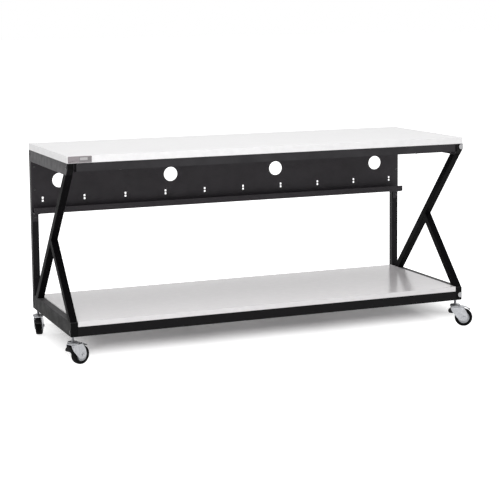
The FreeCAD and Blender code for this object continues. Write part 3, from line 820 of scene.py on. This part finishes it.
RACE = ((5.2, 91), (24, 91), (24, 93.6), (23.4, 94.4), (21.4, 94.6), (20.4, 94), (16.6, 94),
        (15.6, 94.6), (5.2, 94.6))
BALL_RADIUS, BALL_RING, BALL_HIGH, BALL_COUNT = 1.5, 18.5, 95.6, 20
EASING_ROUNDS, EASING_CUTS = 2, (0.25, 0.75)
ROLL_STEPS, BOSS_STEPS, ROD_STEPS = 6, 32, 16
SHEET_EASE, SHEET_SHARP = 0.35, math.radians(50)
TYRE_BLACK = (0.0018, 0.0018, 0.0019, 1)
LYING = Matrix.Rotation(math.radians(90), 4, "X")


def eased(points):
    """An outline whose corners, all but its ends, are cut again and again into curves."""
    path = points[1:-1]
    for _ in range(EASING_ROUNDS):
        cut = [path[0]]
        for first, second in zip(path, path[1:]):
            for share in EASING_CUTS:
                cut.append([a + (b - a) * share for a, b in zip(first, second)])
        path = cut + [path[-1]]
    return [points[0], *path, points[-1]]


def plate_outline(points, low, high):
    """A solid cut from an outline in the fork's side view, low to high across it."""
    return prism([(x, low, z) for x, z in points], (0, high - low, 0))


def rolled(shape, radius):
    """A block with its two upper edges along the wheel's run rolled round."""
    upper = [edge for edge in shape.edges if lies_along(edge, X_AXIS)
             and edge.verts[0].co.z > CROWN / 2 * MM]
    round_edges(shape, upper, radius * MM, ROLL_STEPS)
    return shape


def pressed_fork():
    """The fork's block with a rolled crown, and the rounded room cut out of it."""
    half = FORK_WIDE / 2
    left, right, under, roof = -60, 120, -5, CROWN - CROWN_THICK
    outer = plate_outline(eased(PLATE), -half, half)
    inner = plate_outline(((left, under), (left, roof), (right, roof), (right, under)),
                          SHEET - half, half - SHEET)
    return rolled(outer, CROWN_ROUND), rolled(inner, CROWN_ROUND - SHEET)


def carved(outer, inner, name):
    """Cut one shape out of another and hand back the result."""
    block, tool = [bpy.data.objects.new(name, bpy.data.meshes.new(name)) for _ in range(2)]
    for item, shape in ((block, outer), (tool, inner)):
        shape.to_mesh(item.data)
        shape.free()
        bpy.context.scene.collection.objects.link(item)
    knife = block.modifiers.new("knife", "BOOLEAN")
    knife.operation = "DIFFERENCE"
    knife.solver = "EXACT"
    knife.object = tool
    edge = block.modifiers.new("edge", "BEVEL")
    edge.width = SHEET_EASE * MM
    edge.segments = 2
    edge.limit_method = "ANGLE"
    edge.angle_limit = SHEET_SHARP
    shape = bmesh.new()
    shape.from_mesh(plain_mesh(block))
    for item in (block, tool):
        bpy.data.objects.remove(item)
    return shape


def swept_guard():
    """The guard: a strip bent over the wheel with a raised middle and eased edges."""
    shape = bmesh.new()
    rings = []
    below = [(y, rise - GUARD_THICK) for y, rise in reversed(GUARD_ACROSS)]
    for k, (x, z) in enumerate(GUARD_TOP):
        ahead = Vector(GUARD_TOP[min(k + 1, len(GUARD_TOP) - 1)])
        behind = Vector(GUARD_TOP[max(k - 1, 0)])
        run = (ahead - behind).normalized()
        rings.append([shape.verts.new(((x - run.y * rise) * MM, y * MM,
                                       (z + run.x * rise) * MM))
                      for y, rise in (*GUARD_ACROSS, *below)])
    for first, second in zip(rings, rings[1:]):
        for k in range(len(first)):
            shape.faces.new((first[k], first[(k + 1) % len(first)],
                             second[(k + 1) % len(first)], second[k]))
    shape.faces.new(rings[0])
    shape.faces.new(rings[-1])
    bmesh.ops.recalc_face_normals(shape, faces=shape.faces)
    return shape


def ball_tree(material):
    """A ring of bearing balls round the stem."""
    tree, sizes = new_tree("bearing_balls", {"Ball radius": BALL_RADIUS * MM})
    ball = step(tree, "GeometryNodeMeshIcoSphere",
                {"Radius": sizes["Ball radius"], "Subdivisions": 2})
    close_tree(tree, set_out(tree, sizes["Mesh"], ball.outputs["Mesh"]), material)
    return tree


def at(spot, across=0):
    """Moves something to a spot in the caster's side view, given in millimetres."""
    return Matrix.Translation((spot[0] * MM, across * MM, spot[1] * MM))


def ring_points(count):
    """Directions spaced evenly round a circle."""
    return [Vector((math.cos(math.tau * k / count), math.sin(math.tau * k / count), 0))
            for k in range(count)]


tyre_black = moulded_plastic("tyre_rubber", TYRE_BLACK, roughness=0.6, gloss=0.05)
balls_of = ball_tree(zinc)
for corner in CORNERS:
    place = corner_matrix(corner)
    body = corner + "_fork"
    bosses = [moved(spun(BOSS, BOSS_STEPS), at(AXLE_AT, way * FORK_WIDE / 2)
                    @ Matrix.Rotation(math.radians(-90 * way), 4, "X")) for way in (-1, 1)]
    pin = moved(spun(PIN, ROD_STEPS), at(PIN_AT) @ LYING)
    fork_shape = joined(carved(*pressed_fork(), corner + "_fork_sheet"), swept_guard(),
                        spun(RACE), pin, *bosses)
    fork = mesh_object(moved(fork_shape, place), corner + "_pressed_fork", zinc)
    stand_for(fork, "caster_" + corner + "_fork", body)
    ring = bmesh.new()
    for out in ring_points(BALL_COUNT):
        ring.verts.new(place @ at((0, BALL_HIGH)) @ (out * BALL_RING * MM))
    balls = grown(corner + "_balls", ring, balls_of)
    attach(balls, body)
    lip = mesh_object(moved(spun(LIP, ROD_STEPS), place @ at(LIP_AT) @ LYING),
                      corner + "_guard_lip", tyre_black)
    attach(lip, body)

# ---- Wheels -----------------------------------------------------------------
# A grey moulded hub runs on a bolt through the fork, and a band of black rubber
# is pressed over it. The hub is dished and carries eight ribs on each face.
HUB_GREY = (0.44, 0.45, 0.47, 1)
RIB_COUNT, RIB_MIDDLE, RIB_FACE = 8, 17.4, 9.4
TYRE_STEPS = 64
TYRE = ((30, -12.6), (26, -12.6), (26.5, -13.4), (35.8, -14), (37, -13.4), (38.8, -11.5),
        (39.5, -9), (40, -5.5), (40, -0.5), (39.5, 0), (40, 0.5), (40, 5.5), (39.5, 9),
        (38.8, 11.5), (37, 13.4), (35.8, 14), (26.5, 13.4), (26, 12.6), (30, 12.6))
HUB = ((4.1, -16.2), (8, -16.2), (9, -15.4), (9.4, -9.5), (11, -8.2), (23, -8.2),
       (25.5, -9.5), (26.4, -12.4), (30, -12.4), (30, 12.4), (26.4, 12.4), (25.5, 9.5),
       (23, 8.2), (11, 8.2), (9.4, 9.5), (9, 15.4), (8, 16.2), (4.1, 16.2))
hub_grey = moulded_plastic("hub_plastic", HUB_GREY, roughness=0.35)


def tube_spun(profile, steps=TURN_STEPS):
    """A turned ring: like spun, but its last point joins its first round the bore."""
    shape = spun(profile, steps)
    ends = [face for face in shape.faces if len(face.verts) == steps]
    bmesh.ops.delete(shape, geom=ends, context="FACES_ONLY")
    edges = [edge for edge in shape.edges if edge.is_boundary]
    bmesh.ops.bridge_loops(shape, edges=edges)
    bmesh.ops.recalc_face_normals(shape, faces=shape.faces)
    return shape


def rib_tree(material):
    """A rib from the hub's boss to its rim, on every seed point."""
    tree, sizes = new_tree(
        "hub_ribs", {"Rib length": 0.0165, "Rib width": 0.0022, "Rib depth": 0.0034})
    size = step(tree, "ShaderNodeCombineXYZ",
                {"X": sizes["Rib length"], "Y": sizes["Rib width"],
                 "Z": sizes["Rib depth"]})
    bar = step(tree, "GeometryNodeMeshCube",
               {"Size": size.outputs["Vector"], "Vertices X": 3, "Vertices Y": 3,
                "Vertices Z": 2})
    ribs = set_out(tree, sizes["Mesh"], bar.outputs["Mesh"],
                   Rotation=turned_to(tree, taken(tree, "facing"), "X"))
    close_tree(tree, ribs, material)
    return tree


ribs_of = rib_tree(hub_grey)
for corner in CORNERS:
    place = corner_matrix(corner) @ at(AXLE_AT) @ LYING
    body = corner + "_wheel"
    tyre = mesh_object(moved(tube_spun(TYRE, TYRE_STEPS), place), corner + "_tyre_band",
                       tyre_black)
    stand_for(tyre, "caster_" + corner + "_tyre", body)
    hub = mesh_object(moved(tube_spun(HUB), place), corner + "_moulded_hub", hub_grey)
    stand_for(hub, "caster_" + corner + "_hub", body)
    seeds = bmesh.new()
    facing = seeds.verts.layers.float_vector.new("facing")
    for out in ring_points(RIB_COUNT):
        for way in (-RIB_FACE, RIB_FACE):
            seeds.verts.new(out * RIB_MIDDLE * MM + Vector((0, 0, way * MM)))[facing] = out
    ribs = grown(corner + "_hub_ribs", seeds, ribs_of)
    ribs.data.transform(place)
    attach(ribs, body)

# ---- Axle bolts -------------------------------------------------------------
# A plated bolt with a washer and a hexagon head on one side, and a washer and a
# hexagon nut on the other, holds each wheel in its fork.
AXLE = ((0, -23.2), (3.6, -23.2), (4, -22.8), (4, 22.8), (3.6, 23.2), (0, 23.2))
WASHER = ((0, 19.1), (7, 19.1), (7, 20.1), (6.6, 20.3), (0, 20.3))
HEXAGON = ((0, 20.2), (6, 20.2), (6.9, 20.7), (6.9, 22.3), (6, 22.8), (0, 22.8))
BOLT_STEPS, HEX_SIDES = 24, 6
for corner in CORNERS:
    parts = [spun(AXLE, BOLT_STEPS)]
    for flip in (0, math.pi):
        for profile, steps in ((WASHER, BOLT_STEPS), (HEXAGON, HEX_SIDES)):
            parts.append(moved(spun(profile, steps), Matrix.Rotation(flip, 4, "X")))
    place = corner_matrix(corner) @ at(AXLE_AT) @ LYING
    axle = mesh_object(moved(joined(*parts), place), corner + "_axle_bolt", zinc)
    stand_for(axle, "caster_" + corner + "_axle", corner + "_fork")

# ---- Brake pedals -----------------------------------------------------------
# A black plastic pedal turns on a pin in front of each stem. Pressed down, its
# toe bears on the tyre. Five ribs across its top give a shoe some grip.
PEDAL = ((-11, 85), (-20, 81.6), (-27.4, 76.8), (-31.2, 71.4), (-31.8, 68), (-30.6, 64.4),
         (-27, 61.4), (-18, 59.6), (-10, 60), (-5.4, 62), (-3, 65), (-2.2, 67), (-4.4, 74),
         (-6.6, 80.4), (-8, 83.8))
PEDAL_HALF, PEDAL_EASE = 12.0, 0.8
PEDAL_BLACK = (0.003, 0.003, 0.0033, 1)
GRIP_HEEL, GRIP_TOE = Vector((-13, 0, 84.2)), Vector((-29, 0, 75.8))
GRIP_SHARES, GRIP_SIDES = (0.12, 0.32, 0.52, 0.72, 0.92), 10
pedal_black = moulded_plastic("pedal_plastic", PEDAL_BLACK, roughness=0.45, gloss=0.15)


def grip_tree(material):
    """Round ribs laid across the pedal, one on each seed point."""
    tree, sizes = new_tree("pedal_grips", {"Rib radius": 0.0009, "Rib length": 0.019})
    bar, _ = rod(tree, GRIP_SIDES, sizes["Rib radius"], sizes["Rib length"])
    rows = set_out(tree, sizes["Mesh"], bar,
                   Rotation=turned_to(tree, taken(tree, "facing")))
    close_tree(tree, rows, material)
    return tree


grips_of = grip_tree(pedal_black)
for corner in CORNERS:
    place = corner_matrix(corner)
    body = corner + "_pedal"
    pedal_shape = plate_outline(eased(PEDAL), -PEDAL_HALF, PEDAL_HALF)
    rims = [edge for edge in pedal_shape.edges if not lies_along(edge, Y_AXIS)]
    round_edges(pedal_shape, rims, PEDAL_EASE * MM, clamp=False)
    pedal = mesh_object(moved(pedal_shape, place), corner + "_brake_lever", pedal_black)
    stand_for(pedal, "caster_" + corner + "_pedal", body)
    seeds = bmesh.new()
    facing = seeds.verts.layers.float_vector.new("facing")
    for share in GRIP_SHARES:
        spot = GRIP_HEEL.lerp(GRIP_TOE, share) * MM
        seeds.verts.new(place @ spot)[facing] = place.to_3x3() @ Y_AXIS
    grips = grown(corner + "_pedal_grips", seeds, grips_of)
    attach(grips, body)

# ---- Studio -----------------------------------------------------------------
# A pale floor that runs on to the horizon, one wide soft lamp overhead, one in
# front, and even light from all round. The floor glows white to the camera and in
# shiny faces, and its glow is painted thin in a rectangle under the table, set back
# and to the right, so the table's own shadow shows only inside it: a painted
# shadow outline.
WHITE = (1, 1, 1, 1)
FLOOR_COLOUR = (0.88, 0.88, 0.88, 1)
FLOOR_REACH = 60
FLOOR_LIFT = 0.04
SHADED_MIDDLE = (0.1, 0.2)
SHADED_HALF = (0.97, 0.34)
SHADED_FADE = (-0.2, 0.18)
SKY = 0.5


def background_rays(tree):
    """One for rays that show the background, seen straight or in metal and glass."""
    rays = step(tree, "ShaderNodeLightPath").outputs
    either = sums(tree, "MAXIMUM", rays["Is Camera Ray"], rays["Is Glossy Ray"])
    return sums(tree, "MAXIMUM", either, rays["Is Transmission Ray"])


floor_shape = bmesh.new()
bmesh.ops.create_grid(floor_shape, x_segments=1, y_segments=1, size=FLOOR_REACH)
floor_material, floor_tree, floor_shader = new_material("pale_floor", FLOOR_COLOUR,
                                                        roughness=0.85, gloss=0)
spot = own_place(floor_tree)
# Painted shadow outline: the floor's glow fades almost to nothing inside this rectangle round
# the table.
past = [sums(floor_tree, "SUBTRACT", distance(floor_tree, spot[axis], middle), half)
        for axis, middle, half in zip("XY", SHADED_MIDDLE, SHADED_HALF)]
outside = sums(floor_tree, "MAXIMUM", *past)
lift = step(floor_tree, "ShaderNodeMapRange",
            {"Value": outside, "From Min": SHADED_FADE[0], "From Max": SHADED_FADE[1],
             "To Min": FLOOR_LIFT, "To Max": 1},
            interpolation_type="SMOOTHSTEP").outputs["Result"]
shown = sums(floor_tree, "MULTIPLY", lift, background_rays(floor_tree))
floor_shader.inputs["Emission Color"].default_value = WHITE
floor_tree.links.new(shown, floor_shader.inputs["Emission Strength"])
floor = mesh_object(floor_shape, "floor", floor_material)

world = bpy.data.worlds.new("studio")
bpy.context.scene.world = world
world.use_nodes = True
sky = world.node_tree
level = spread(sky, background_rays(sky), SKY, 1, 0, 1)
sky.links.new(level, sky.nodes["Background"].inputs["Strength"])
sky.nodes["Background"].inputs["Color"].default_value = WHITE


def soft_lamp(name, place, target, wide, deep, power, mirrored):
    """A square-cornered lamp aimed at a point, which shiny faces mirror or not."""
    lamp = bpy.data.lights.new(name, "AREA")
    lamp.shape = "RECTANGLE"
    lamp.size = wide
    lamp.size_y = deep
    lamp.energy = power
    holder = bpy.data.objects.new(name, lamp)
    aim = Vector(target) - Vector(place)
    holder.location = place
    holder.rotation_euler = aim.to_track_quat("-Z", "Y").to_euler()
    holder.visible_glossy = mirrored
    bpy.context.scene.collection.objects.link(holder)


soft_lamp("overhead_lamp", (0, -0.4, 3.6), (0, 0, 0.4), wide=4.0, deep=3.0, power=50,
          mirrored=True)
soft_lamp("front_lamp", (-2.0, -4.8, 1.9), (0, 0, 0.5), wide=3.2, deep=2.2, power=105,
          mirrored=False)

# ---- Camera -----------------------------------------------------------------
# A long lens at standing height, a few steps back from the table's left front
# corner. Its place is measured from the foot of the left side frame.
FRAME_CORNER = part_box("left_bottom_rail")[0]
CAMERA_OFFSET = Vector((-1.4943, -5.6318, 1.3339))
YAW = math.radians(22.1)
PITCH = math.radians(6.63)
ROLL = math.radians(-0.56)
FOCAL_PIXELS = 1445
IMAGE_WIDTH = 499
SENSOR = 36
LENS_SHIFT = -0.15
FAR = 200
lens = bpy.data.cameras.new("table_camera")
lens.sensor_width = SENSOR
lens.lens = FOCAL_PIXELS * SENSOR / IMAGE_WIDTH
lens.shift_y = LENS_SHIFT
lens.clip_end = FAR
camera = bpy.data.objects.new("table_camera", lens)
turn = (Matrix.Rotation(-YAW, 4, "Z") @ Matrix.Rotation(math.radians(90) - PITCH, 4, "X")
        @ Matrix.Rotation(ROLL, 4, "Z"))
camera.matrix_world = Matrix.Translation(FRAME_CORNER + CAMERA_OFFSET) @ turn
bpy.context.scene.collection.objects.link(camera)
bpy.context.scene.camera = camera
bpy.context.scene.view_settings.view_transform = "Standard"
